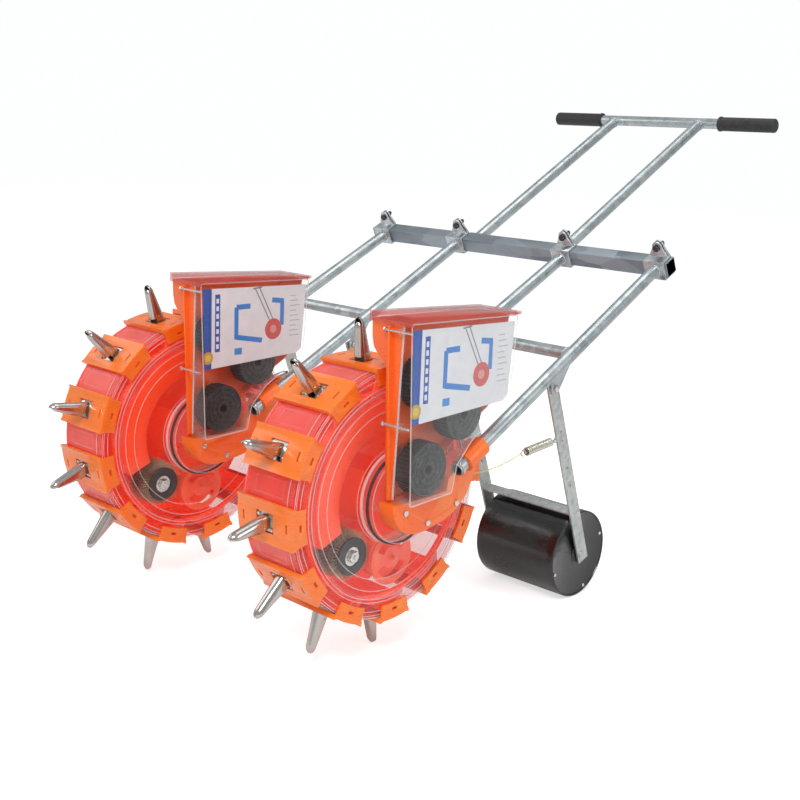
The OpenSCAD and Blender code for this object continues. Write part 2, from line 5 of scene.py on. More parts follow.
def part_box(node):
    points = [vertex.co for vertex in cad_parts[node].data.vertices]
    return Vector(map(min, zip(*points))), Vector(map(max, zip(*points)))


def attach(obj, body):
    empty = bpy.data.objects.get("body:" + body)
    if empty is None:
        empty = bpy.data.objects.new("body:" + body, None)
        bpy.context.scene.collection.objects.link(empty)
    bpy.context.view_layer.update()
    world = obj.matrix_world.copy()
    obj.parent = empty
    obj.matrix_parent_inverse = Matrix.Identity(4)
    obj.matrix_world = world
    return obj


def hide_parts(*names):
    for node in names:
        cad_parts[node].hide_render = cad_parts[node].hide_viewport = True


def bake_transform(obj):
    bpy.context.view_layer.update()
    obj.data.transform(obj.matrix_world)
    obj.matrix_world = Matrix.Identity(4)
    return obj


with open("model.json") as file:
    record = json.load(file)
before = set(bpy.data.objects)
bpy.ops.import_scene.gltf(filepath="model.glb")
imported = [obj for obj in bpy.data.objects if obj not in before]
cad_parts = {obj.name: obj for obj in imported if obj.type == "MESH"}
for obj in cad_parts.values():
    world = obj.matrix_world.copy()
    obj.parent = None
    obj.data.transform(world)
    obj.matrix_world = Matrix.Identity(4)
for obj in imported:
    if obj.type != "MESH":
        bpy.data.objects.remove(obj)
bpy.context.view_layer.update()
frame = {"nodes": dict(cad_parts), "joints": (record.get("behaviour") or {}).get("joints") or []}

MM = 0.001
N = frame["nodes"]

# ------------------------------------------------------------------ where things are
def centre(node):
    lo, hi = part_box(node)
    return (lo + hi) / 2

JP = {j["name"]: Vector(j["pos_m"]) for j in frame["joints"]}
HUB = {"a": JP["drum_spin_a"], "b": JP["drum_spin_b"]}
HZ = HUB["a"].z
PH = {"a": 6.0, "b": 15.0}
LEAD = 2.0
MC = (120 * math.cos(math.radians(-82.4)), 120 * math.sin(math.radians(-82.4)))
BC = (-68.0, -101.0)

def U(u, x, y, z):
    """Unit frame in mm (X across from the drum middle, Y, Z from the hub) to the row frame in m."""
    h = HUB[u]
    return Vector((h.x + x * MM, h.y + y * MM, h.z + z * MM))

# ------------------------------------------------------------------ camera, light, floor
cam_d = bpy.data.cameras.new("camera")
cam = bpy.data.objects.new("camera", cam_d)
bpy.context.scene.collection.objects.link(cam)
mid = (HUB["a"] + HUB["b"]) / 2
C = mid + Vector((1658.59, -1400.28, 606.76)) * MM
fwd = Vector((-0.6525365, 0.7298578, -0.2037246)).normalized()
right = Vector((0.7386886, 0.6726290, 0.0436976)).normalized()
right = (right - fwd * right.dot(fwd)).normalized()
up = right.cross(fwd)
R = Matrix((right, up, -fwd)).transposed()
cam.matrix_world = Matrix.Translation(C) @ R.to_4x4()
cam_d.sensor_width = 36.0
cam_d.lens = 1188.87 * 36.0 / 800.0
cam_d.shift_x = -30.49 / 800.0
cam_d.shift_y = -23.01 / 800.0
cam_d.clip_end = 100
bpy.context.scene.camera = cam

bpy.context.scene.view_settings.view_transform = "Standard"
world = bpy.data.worlds.new("studio")
bpy.context.scene.world = world
world.use_nodes = True
wb = world.node_tree.nodes["Background"]
wb.inputs[0].default_value = (0.99, 0.995, 1.0, 1)
lp = world.node_tree.nodes.new("ShaderNodeLightPath")
wm = world.node_tree.nodes.new("ShaderNodeMapRange")
wm.inputs["To Min"].default_value = 0.46      # light on the object
wm.inputs["To Max"].default_value = 1.0       # seen behind it
world.node_tree.links.new(lp.outputs["Is Camera Ray"], wm.inputs["Value"])
world.node_tree.links.new(wm.outputs[0], wb.inputs[1])

def area(name, loc, target, size, power, col=(1, 1, 1)):
    l = bpy.data.lights.new(name, "AREA")
    l.energy = power
    l.size = size
    l.color = col
    o = bpy.data.objects.new(name, l)
    bpy.context.scene.collection.objects.link(o)
    o.location = loc
    o.rotation_euler = (Vector(target) - Vector(loc)).to_track_quat("-Z", "Y").to_euler()
    return o
area("key", (1.6, -2.4, 3.0), (0, -0.2, 0.3), 1.3, 60)
area("fill", (-2.6, -1.8, 2.2), (0, 0, 0.3), 2.0, 16)
area("top", (0.2, 0.6, 3.4), (0, 0, 0.2), 1.8, 20)
area("side", (3.0, 0.6, 1.6), (0.2, -0.1, 0.3), 1.2, 12)

# ------------------------------------------------------------------ node helpers
def new_mat(name):
    m = bpy.data.materials.new(name)
    m.use_nodes = True
    nt = m.node_tree
    for n in list(nt.nodes):
        if n.type != "OUTPUT_MATERIAL":
            nt.nodes.remove(n)
    out = nt.nodes["Material Output"]
    b = nt.nodes.new("ShaderNodeBsdfPrincipled")
    nt.links.new(b.outputs[0], out.inputs[0])
    return m, nt, b

def nd(nt, typ, **kw):
    n = nt.nodes.new(typ)
    for k, v in kw.items():
        if k.startswith("i_"):
            key = k[2:]
            key = int(key) if key.isdigit() else key.replace("_", " ")
            n.inputs[key].default_value = v
        else:
            setattr(n, k, v)
    return n

def coords(nt, scale=1.0, stretch=(1, 1, 1), rot=(0, 0, 0)):
    tc = nd(nt, "ShaderNodeTexCoord")
    mp = nd(nt, "ShaderNodeMapping")
    mp.inputs["Scale"].default_value = [scale * s for s in stretch]
    mp.inputs["Rotation"].default_value = rot
    nt.links.new(tc.outputs["Object"], mp.inputs["Vector"])
    return mp.outputs[0]

def noise(nt, vec, scale, detail=4, rough=0.55):
    n = nd(nt, "ShaderNodeTexNoise")
    n.inputs["Scale"].default_value = scale
    n.inputs["Detail"].default_value = detail
    n.inputs["Roughness"].default_value = rough
    nt.links.new(vec, n.inputs["Vector"])
    return n.outputs["Fac"]

def ramp(nt, fac, stops):
    r = nd(nt, "ShaderNodeValToRGB")
    e = r.color_ramp.elements
    while len(e) > 1:
        e.remove(e[-1])
    e[0].position, e[0].color = stops[0][0], tuple(stops[0][1]) + (1,) if len(stops[0][1]) == 3 else stops[0][1]
    for p, c in stops[1:]:
        x = e.new(p)
        x.color = tuple(c) + (1,) if len(c) == 3 else c
    nt.links.new(fac, r.inputs[0])
    return r.outputs[0]

def vramp(nt, fac, lo, hi, a=0.0, b=1.0):
    m = nd(nt, "ShaderNodeMapRange")
    m.inputs["From Min"].default_value = a
    m.inputs["From Max"].default_value = b
    m.inputs["To Min"].default_value = lo
    m.inputs["To Max"].default_value = hi
    nt.links.new(fac, m.inputs["Value"])
    return m.outputs[0]

def mixc(nt, fac, a, b):
    m = nd(nt, "ShaderNodeMix", data_type="RGBA")
    for s, v in ((m.inputs[6], a), (m.inputs[7], b)):
        if hasattr(v, "links"):
            nt.links.new(v, s)
        else:
            s.default_value = tuple(v) + (1,) if len(v) == 3 else v
    if hasattr(fac, "links"):
        nt.links.new(fac, m.inputs[0])
    else:
        m.inputs[0].default_value = fac
    return m.outputs[2]

def bump(nt, b, height, dist, strength=0.4):
    bp = nd(nt, "ShaderNodeBump")
    bp.inputs["Strength"].default_value = strength
    bp.inputs["Distance"].default_value = dist
    nt.links.new(height, bp.inputs["Height"])
    nt.links.new(bp.outputs[0], b.inputs["Normal"])
    return bp

def edge_highlight_mask(nt):
    """0..1, high on convex edges: mask for the painted edge highlight."""
    g = nd(nt, "ShaderNodeNewGeometry")
    return vramp(nt, g.outputs["Pointiness"], 0, 1, 0.5, 0.62)

# ------------------------------------------------------------------ materials
def plastic(name, c1, c2, rough=0.28, coat=0.25, spec=0.5, orange_peel=0.00012, light=None, painted_glow=0.0):
    m, nt, b = new_mat(name)
    v = coords(nt)
    big = noise(nt, v, 9, 3)
    fine = noise(nt, v, 420, 3)
    scuff = noise(nt, coords(nt, 1, (1, 1, 7)), 60, 5, 0.65)
    col = mixc(nt, big, c1, c2)
    # painted highlight: convex edges are lightened towards the light= colour
    w = edge_highlight_mask(nt)
    painted_highlight_col = light or tuple(min(1, c * 1.25 + 0.05) for c in c1)
    wf = nd(nt, "ShaderNodeMath", operation="MULTIPLY", i_1=0.45)
    nt.links.new(w, wf.inputs[0])
    col = mixc(nt, wf.outputs[0], col, painted_highlight_col)
    nt.links.new(col, b.inputs["Base Color"])
    nt.links.new(vramp(nt, scuff, rough - 0.07, rough + 0.16, 0.3, 0.75), b.inputs["Roughness"])
    b.inputs["Coat Weight"].default_value = coat
    b.inputs["Coat Roughness"].default_value = 0.12
    b.inputs["Specular IOR Level"].default_value = spec
    # painted glow: emission in the body colour, so the part reads bright though it is no lamp
    if painted_glow:
        nt.links.new(col, b.inputs["Emission Color"])
        b.inputs["Emission Strength"].default_value = painted_glow
    bump(nt, b, fine, orange_peel, 0.5)
    return m

def zinc(name, c1, c2, rough=0.38, scale=38, metal=0.9, drawn=(1, 1, 1), stain=(0.36, 0.37, 0.36)):
    m, nt, b = new_mat(name)
    v = coords(nt, 1, drawn)
    vo = nd(nt, "ShaderNodeTexVoronoi")
    vo.inputs["Scale"].default_value = scale
    nt.links.new(v, vo.inputs["Vector"])
    sp = noise(nt, v, scale * 0.6, 5, 0.6)
    gr = noise(nt, coords(nt, 1, (1, 1, 1)), 260, 3)
    base = ramp(nt, vo.outputs["Color"], [(0.1, c1), (0.9, c2)])
    dirt = noise(nt, coords(nt), 14, 6, 0.7)
    df = vramp(nt, dirt, 0, 0.45, 0.58, 0.8)
    col = mixc(nt, df, base, stain)
    nt.links.new(col, b.inputs["Base Color"])
    b.inputs["Metallic"].default_value = metal
    nt.links.new(vramp(nt, sp, rough - 0.12, rough + 0.16, 0.3, 0.7), b.inputs["Roughness"])
    bump(nt, b, gr, 0.00015, 0.35)
    return m

def polished(name, c=(0.60, 0.57, 0.54), rough=0.17):
    m, nt, b = new_mat(name)
    v = coords(nt)
    br = noise(nt, coords(nt, 1, (6, 1, 1)), 320, 4, 0.7)
    sm = noise(nt, v, 30, 4)
    nt.links.new(ramp(nt, sm, [(0.3, c), (0.75, tuple(x * 0.82 for x in c))]), b.inputs["Base Color"])
    b.inputs["Metallic"].default_value = 1.0
    nt.links.new(vramp(nt, br, rough - 0.05, rough + 0.12, 0.3, 0.7), b.inputs["Roughness"])
    bump(nt, b, br, 0.00006, 0.3)
    return m

def rubber(name, c=(0.018, 0.018, 0.019), rough=0.5):
    m, nt, b = new_mat(name)
    v = coords(nt)
    f = noise(nt, v, 700, 3)
    s = noise(nt, v, 40, 5)
    nt.links.new(ramp(nt, s, [(0.3, c), (0.8, tuple(min(1, x * 2.2) for x in c))]), b.inputs["Base Color"])
    nt.links.new(vramp(nt, s, rough - 0.1, rough + 0.15, 0.3, 0.7), b.inputs["Roughness"])
    bump(nt, b, f, 0.0001, 0.5)
    return m

def gloss_black(name):
    m, nt, b = new_mat(name)
    s = noise(nt, coords(nt), 26, 5, 0.65)
    dust = noise(nt, coords(nt), 210, 5, 0.8)
    nt.links.new(ramp(nt, dust, [(0.55, (0.006, 0.006, 0.007)), (0.8, (0.03, 0.03, 0.032))]), b.inputs["Base Color"])
    nt.links.new(vramp(nt, s, 0.14, 0.34, 0.3, 0.75), b.inputs["Roughness"])
    b.inputs["Coat Weight"].default_value = 0.5
    b.inputs["Coat Roughness"].default_value = 0.08
    bump(nt, b, s, 0.0012, 0.12)
    return m

def clear(name, tint=(0.93, 0.95, 0.96), lo=0.10, hi=0.75, rough=0.09):
    """Thin clear moulding: see-through face-on, whiter where seen edge-on."""
    m, nt, b = new_mat(name)
    out = nt.nodes["Material Output"]
    lw = nd(nt, "ShaderNodeLayerWeight")
    lw.inputs["Blend"].default_value = 0.35
    v = coords(nt)
    haze = noise(nt, v, 55, 4, 0.6)
    nt.links.new(ramp(nt, haze, [(0.35, tint), (0.8, tuple(x * 0.93 for x in tint))]), b.inputs["Base Color"])
    nt.links.new(vramp(nt, haze, rough - 0.03, rough + 0.08, 0.35, 0.7), b.inputs["Roughness"])
    a = vramp(nt, lw.outputs["Facing"], lo, hi, 0.15, 0.95)
    add = nd(nt, "ShaderNodeMath", operation="MULTIPLY_ADD", i_1=0.02)
    nt.links.new(haze, add.inputs[0])
    nt.links.new(a, add.inputs[2])
    nt.links.new(add.outputs[0], b.inputs["Alpha"])
    b.inputs["Specular IOR Level"].default_value = 0.5
    b.inputs["Coat Weight"].default_value = 0.25
    b.inputs["Coat Roughness"].default_value = 0.05
    bump(nt, b, noise(nt, v, 18, 3), 0.0006, 0.15)
    m.use_backface_culling = False
    return m

M = {
    "tube": zinc("tube_zinc", (0.40, 0.45, 0.47), (0.58, 0.63, 0.64), 0.34, 60),
    "bar": zinc("bar_zinc", (0.24, 0.28, 0.32), (0.42, 0.48, 0.53), 0.42, 36, 0.85, (0.4, 1, 1), (0.20, 0.20, 0.20)),
    "plate": zinc("plate_zinc", (0.48, 0.52, 0.54), (0.66, 0.70, 0.72), 0.30, 90),
    "arm": zinc("arm_zinc", (0.46, 0.49, 0.48), (0.62, 0.65, 0.63), 0.44, 120, 0.8),
    # light= is each plastic's painted edge-highlight colour
    "orange": plastic("orange_plastic", (1.0, 0.145, 0.012), (0.96, 0.115, 0.008), 0.30, 0.3, 0.5, light=(1.0, 0.32, 0.06)),
    # red plastic: painted glow (emission) brightens it inside the clear drum
    "red": plastic("red_plastic", (0.90, 0.045, 0.008), (0.82, 0.030, 0.006), 0.24, 0.35, light=(1.0, 0.14, 0.04), painted_glow=0.30),
    "clear": clear("clear_plastic", lo=0.0, hi=0.24),
    "lid": clear("lid_plastic", (0.74, 0.13, 0.11), 0.30, 0.70),
    "steel": polished("spike_steel"),
    "screw": polished("screw_steel", (0.80, 0.80, 0.78), 0.22),
    "bolt": polished("bolt_dark", (0.10, 0.10, 0.105), 0.32),
    "rubber": rubber("grip_rubber"),
    "seal": rubber("seal_rubber", (0.03, 0.03, 0.03), 0.55),
    "dark": plastic("dark_plastic", (0.010, 0.011, 0.012), (0.018, 0.019, 0.021), 0.34, 0.1, light=(0.06, 0.06, 0.06)),
    "black": gloss_black("roller_black"),
    "brush": rubber("brush_bristle", (0.30, 0.26, 0.17), 0.6),
    "spring": polished("spring_wire", (0.72, 0.72, 0.62), 0.25),
    "card": None,
}
# disc, housing and vane plastics: painted glow (emission) brightens the drum interior
M["disc"] = plastic("disc_plastic", (0.95, 0.075, 0.015), (0.90, 0.055, 0.010), 0.3, 0.2, light=(1.0, 0.25, 0.08), painted_glow=0.15)
M["housing"] = plastic("housing_plastic", (0.92, 0.050, 0.008), (0.86, 0.038, 0.006), 0.3, 0.25, light=(1.0, 0.20, 0.05), painted_glow=0.22)
M["saddle"] = plastic("saddle_plastic", (1.0, 0.21, 0.012), (1.0, 0.165, 0.010), 0.27, 0.35, 0.5, light=(1.0, 0.40, 0.08))
M["vane"] = plastic("vane_plastic", (0.92, 0.045, 0.008), (0.86, 0.030, 0.006), 0.22, 0.4, light=(1.0, 0.18, 0.05), painted_glow=0.25)
# whiter, more opaque clear: on thin beads it paints white highlight lines; on part of the hub seals it stands in for
# clear collar faces
M["edge"] = clear("clear_collar_and_highlight", (0.97, 0.98, 0.99), 0.30, 0.80, 0.12)
M["rose"] = clear("rose_plastic", (0.88, 0.06, 0.03), 0.50, 0.85, 0.16)
M["wire"] = rubber("pull_wire", (0.62, 0.58, 0.20), 0.45)
M["weld"] = zinc("weld_zinc", (0.50, 0.52, 0.52), (0.72, 0.74, 0.74), 0.45, 220, 0.85)

def card_print():
    """White card: blue bands, ruled grey lines and plain shapes."""
    m, nt, b = new_mat("card_print")
    tc = nd(nt, "ShaderNodeTexCoord")
    sep = nd(nt, "ShaderNodeSeparateXYZ")
    nt.links.new(tc.outputs["Object"], sep.inputs[0])
    Y, Z = sep.outputs[1], sep.outputs[2]
    h = HUB["a"]
    def mth(op, a, b_, c=None):
        n = nd(nt, "ShaderNodeMath", operation=op)
        for i, v in enumerate((a, b_) + ((c,) if c is not None else ())):
            if hasattr(v, "links"):
                nt.links.new(v, n.inputs[i])
            else:
                n.inputs[i].default_value = v
        return n.outputs[0]
    def band(v, lo, hi):
        return mth("MULTIPLY", mth("GREATER_THAN", v, lo), mth("LESS_THAN", v, hi))
    def rect(y0, y1, z0, z1):
        return mth("MULTIPLY", band(Y, h.y + y0 * MM, h.y + y1 * MM), band(Z, h.z + z0 * MM, h.z + z1 * MM))
    def dot(y, z, r):
        dy = mth("SUBTRACT", Y, h.y + y * MM); dz = mth("SUBTRACT", Z, h.z + z * MM)
        return mth("LESS_THAN", mth("ADD", mth("MULTIPLY", dy, dy), mth("MULTIPLY", dz, dz)), (r * MM) ** 2)
    def bar_(y0, z0, y1, z1, w):
        """A straight bar between two points."""
        L = math.hypot(y1 - y0, z1 - z0); c, s = (y1 - y0) / L, (z1 - z0) / L
        dy = mth("SUBTRACT", Y, h.y + y0 * MM); dz = mth("SUBTRACT", Z, h.z + z0 * MM)
        t = mth("ADD", mth("MULTIPLY", dy, c), mth("MULTIPLY", dz, s))
        q = mth("ABSOLUTE", mth("SUBTRACT", mth("MULTIPLY", dz, c), mth("MULTIPLY", dy, s)), 0.0)
        return mth("MULTIPLY", band(t, 0.0, L * MM), mth("LESS_THAN", q, w * MM / 2))
    paper = ramp(nt, noise(nt, coords(nt), 45, 4), [(0.3, (0.80, 0.81, 0.83)), (0.8, (0.70, 0.72, 0.75))])
    blue, deep, red_, grey = (0.010, 0.085, 0.42), (0.012, 0.055, 0.28), (0.62, 0.06, 0.05), (0.20, 0.22, 0.26)
    col = mixc(nt, rect(-60, -35, 120, 330), paper, blue)
    col = mixc(nt, rect(-41, -38.6, 120, 330), col, deep)
    # title strip with plain light bars
    col = mixc(nt, rect(-27, -15, 176, 286), col, blue)
    for k in range(7):
        col = mixc(nt, rect(-24, -18, 182 + k * 14.5, 191 + k * 14.5), col, (0.75, 0.80, 0.88))
    # two plain rounded blocks and a simple wheel-and-handle pictogram
    for y0, z0, y1, z1 in ((24, 258, 58, 258), (24, 258, 24, 196), (24, 200, 88, 188), (138, 262, 138, 214), (112, 266, 142, 262)):
        col = mixc(nt, bar_(y0, z0, y1, z1, 10), col, (0.015, 0.20, 0.62))
    col = mixc(nt, bar_(20, 172, 38, 172, 13), col, (0.02, 0.26, 0.66))
    col = mixc(nt, dot(-43, 166, 12), col, (0.55, 0.36, 0.04))
    col = mixc(nt, dot(-43, 166, 7), col, (0.70, 0.52, 0.10))
    col = mixc(nt, bar_(70, 290, 112, 216, 2.6), col, grey)
    col = mixc(nt, bar_(80, 292, 118, 222, 2.6), col, grey)
    col = mixc(nt, bar_(64, 291, 86, 293, 3.0), col, grey)
    col = mixc(nt, dot(116, 208, 21), col, red_)
    col = mixc(nt, dot(116, 208, 8), col, (0.70, 0.30, 0.28))
    # ruled lines near the rear edge
    for k in range(9):
        col = mixc(nt, rect(158 + 0 * k, 184 - 5 * (k % 3), 190 + 10 * k, 192 + 10 * k), col, (0.45, 0.47, 0.50))
    nt.links.new(col, b.inputs["Base Color"])
    nt.links.new(vramp(nt, noise(nt, coords(nt), 80, 3), 0.28, 0.42), b.inputs["Roughness"])
    b.inputs["Coat Weight"].default_value = 0.4
    b.inputs["Coat Roughness"].default_value = 0.1
    bump(nt, b, noise(nt, coords(nt), 14, 2), 0.0012, 0.25)
    return m
M["card"] = card_print()

def give(node, mat):
    o = N[node]
    o.data.materials.clear()
    o.data.materials.append(M[mat])
    for p in o.data.polygons:
        p.material_index = 0
MATS = {"toolbar": "bar", "handle_frame": "tube", "handle_grips": "rubber", "clamp_brackets": "plate", "clamp_bolts": "bolt", "fork_frames": "tube",
        "core_housings": "orange", "core_covers": "clear", "hub_seals": "seal", "brush_wheels": "brush", "hub_brackets": "orange",
        "hopper_backs": "orange", "hopper_tanks": "clear", "spare_rollers": "dark", "instruction_cards": "card", "bolts_and_screws": "screw"}
for u in "ab":
    MATS.update({"drum_shell_" + u: "clear", "chute_ring_" + u: "red", "saddles_" + u: "orange", "spike_bodies_" + u: "steel", "spike_bolts_" + u: "screw",
                 "metering_roller_" + u: "red", "hopper_lid_" + u: "lid", "roller_yoke_" + u: "arm", "press_roller_" + u: "black", "arm_spring_" + u: "spring"})
    for i in range(1, 13):
        MATS["jaw_%s_%02d" % (u, i)] = "steel"
for n, k in MATS.items():
    give(n, k)

# ------------------------------------------------------------------ mesh helpers (all inputs in mm)
def finish_mesh(name, bm, mats, body, angle=32, bevel=0.0, segs=2, replaces=(), recalc=True, ride=True):
    if recalc:
        bmesh.ops.recalc_face_normals(bm, faces=bm.faces)
    me = bpy.data.meshes.new(name)
    bm.to_mesh(me)
    bm.free()
    ob = bpy.data.objects.new(name, me)
    bpy.context.scene.collection.objects.link(ob)
    for k in ([mats] if isinstance(mats, str) else mats):
        me.materials.append(M[k])
    if bevel:
        md = ob.modifiers.new("bevel", "BEVEL")
        md.width = bevel * MM
        md.segments = segs
        md.limit_method = "ANGLE"
        md.angle_limit = math.radians(38)
        md.use_clamp_overlap = True
        dg = bpy.context.evaluated_depsgraph_get()
        me2 = bpy.data.meshes.new_from_object(ob.evaluated_get(dg))
        ob.modifiers.clear()
        ob.data = me2
        me2.name = name
    for p in ob.data.polygons:
        p.use_smooth = True
    ob.data.set_sharp_from_angle(angle=math.radians(angle))
    if ride:
        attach(ob, body)
    if replaces:
        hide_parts(*replaces)
    return ob

def rounded(node, body, mat, width, segs=2, angle=32, dissolve=0.6):
    """A softened copy of a CAD node: same shape, edges rounded inwards."""
    src = N[node].data
    bm = bmesh.new()
    bm.from_mesh(src)
    bmesh.ops.remove_doubles(bm, verts=bm.verts, dist=0.00001)
    bmesh.ops.dissolve_limit(bm, angle_limit=math.radians(dissolve), verts=bm.verts, edges=bm.edges)
    return finish_mesh(node + "_soft", bm, mat, body, angle, width, segs, (node,))

def revolve(bm, u, prof, cy=0.0, cz=0.0, seg=128, closed=True, mi=0, a0=0.0, a1=360.0):
    """Turns (x, r) points about the X axis through (cy, cz) of unit u."""
    full = abs(a1 - a0 - 360) < 1e-6
    n = seg if full else seg + 1
    rings = []
    for i in range(n):
        a = math.radians(a0 + (a1 - a0) * i / seg)
        rings.append([bm.verts.new(U(u, x, cy + r * math.cos(a), cz + r * math.sin(a))) for x, r in prof])
    m_ = len(prof)
    for i in range(seg):
        A, B = rings[i], rings[(i + 1) % n]
        for k in range(m_ if closed else m_ - 1):
            q = (A[k], A[(k + 1) % m_], B[(k + 1) % m_], B[k])
            try:
                f = bm.faces.new(q)
                f.material_index = mi
            except ValueError:
                pass
    if not full and closed:
        for ring in (rings[0], rings[-1]):
            f = bm.faces.new(ring)
            f.material_index = mi
    return rings

def box3(bm, mat4, x0, x1, y0, y1, z0, z1, mi=0):
    vs = [bm.verts.new(mat4 @ Vector((x, y, z))) for x in (x0, x1) for y in (y0, y1) for z in (z0, z1)]
    for q in ((0, 1, 3, 2), (4, 6, 7, 5), (0, 4, 5, 1), (2, 3, 7, 6), (0, 2, 6, 4), (1, 5, 7, 3)):
        f = bm.faces.new([vs[i] for i in q])
        f.material_index = mi
    return vs

def spike_frame(u, a):
    """Matrix from the spike frame (X across, Y forward tangent, Z outward, mm) to the row frame (m)."""
    t = math.radians(a)
    ex = Vector((1, 0, 0)); ez = Vector((0, math.cos(t), math.sin(t))); ey = Vector((0, -math.sin(t), math.cos(t)))
    R_ = Matrix((ex, ey, ez)).transposed().to_4x4()
    return Matrix.Translation(HUB[u]) @ R_ @ Matrix.Scale(MM, 4)

def sweep(bm, pts, rad, sides=10, mi=0, cap=True, up=Vector((0, 0, 1))):
    """Round tube along points given in metres; rad in mm, or a list."""
    n = len(pts)
    rings = []
    prev = None
    for i, p in enumerate(pts):
        d = (pts[min(i + 1, n - 1)] - pts[max(i - 1, 0)]).normalized()
        if prev is None:
            s = d.cross(up)
            if s.length < 1e-3:
                s = d.cross(Vector((1, 0, 0)))
            s.normalize()
        else:
            s = (prev - d * prev.dot(d)).normalized()
        prev = s
        t = d.cross(s)
        r = (rad[i] if isinstance(rad, (list, tuple)) else rad) * MM
        rings.append([bm.verts.new(p + r * (math.cos(2 * math.pi * k / sides) * s + math.sin(2 * math.pi * k / sides) * t)) for k in range(sides)])
    for A, B in zip(rings, rings[1:]):
        for k in range(sides):
            f = bm.faces.new((A[k], A[(k + 1) % sides], B[(k + 1) % sides], B[k]))
            f.material_index = mi
    if cap:
        for ring in (rings[0], rings[-1]):
            f = bm.faces.new(ring)
            f.material_index = mi

def disc_x(bm, u, cy, cz, x0, x1, r, seg=48, mi=0, ch=0.6, inner=0.0):
    """A short cylinder along X with chamfered rims."""
    prof = [(x0, max(inner, 0.01)), (x0, r - ch), (x0 + ch, r), (x1 - ch, r), (x1, r - ch), (x1, max(inner, 0.01))]
    revolve(bm, u, prof, cy, cz, seg, closed=True, mi=mi)

def hexhead(bm, u, cy, cz, x0, x1, r, mi=0, turn=0.0):
    revolve(bm, u, [(x0, 0.01), (x0, r - 0.7), (x0 + 0.7, r), (x1 - 0.9, r), (x1, r - 1.1), (x1, 0.01)], cy, cz, 6, True, mi, turn, turn + 360)

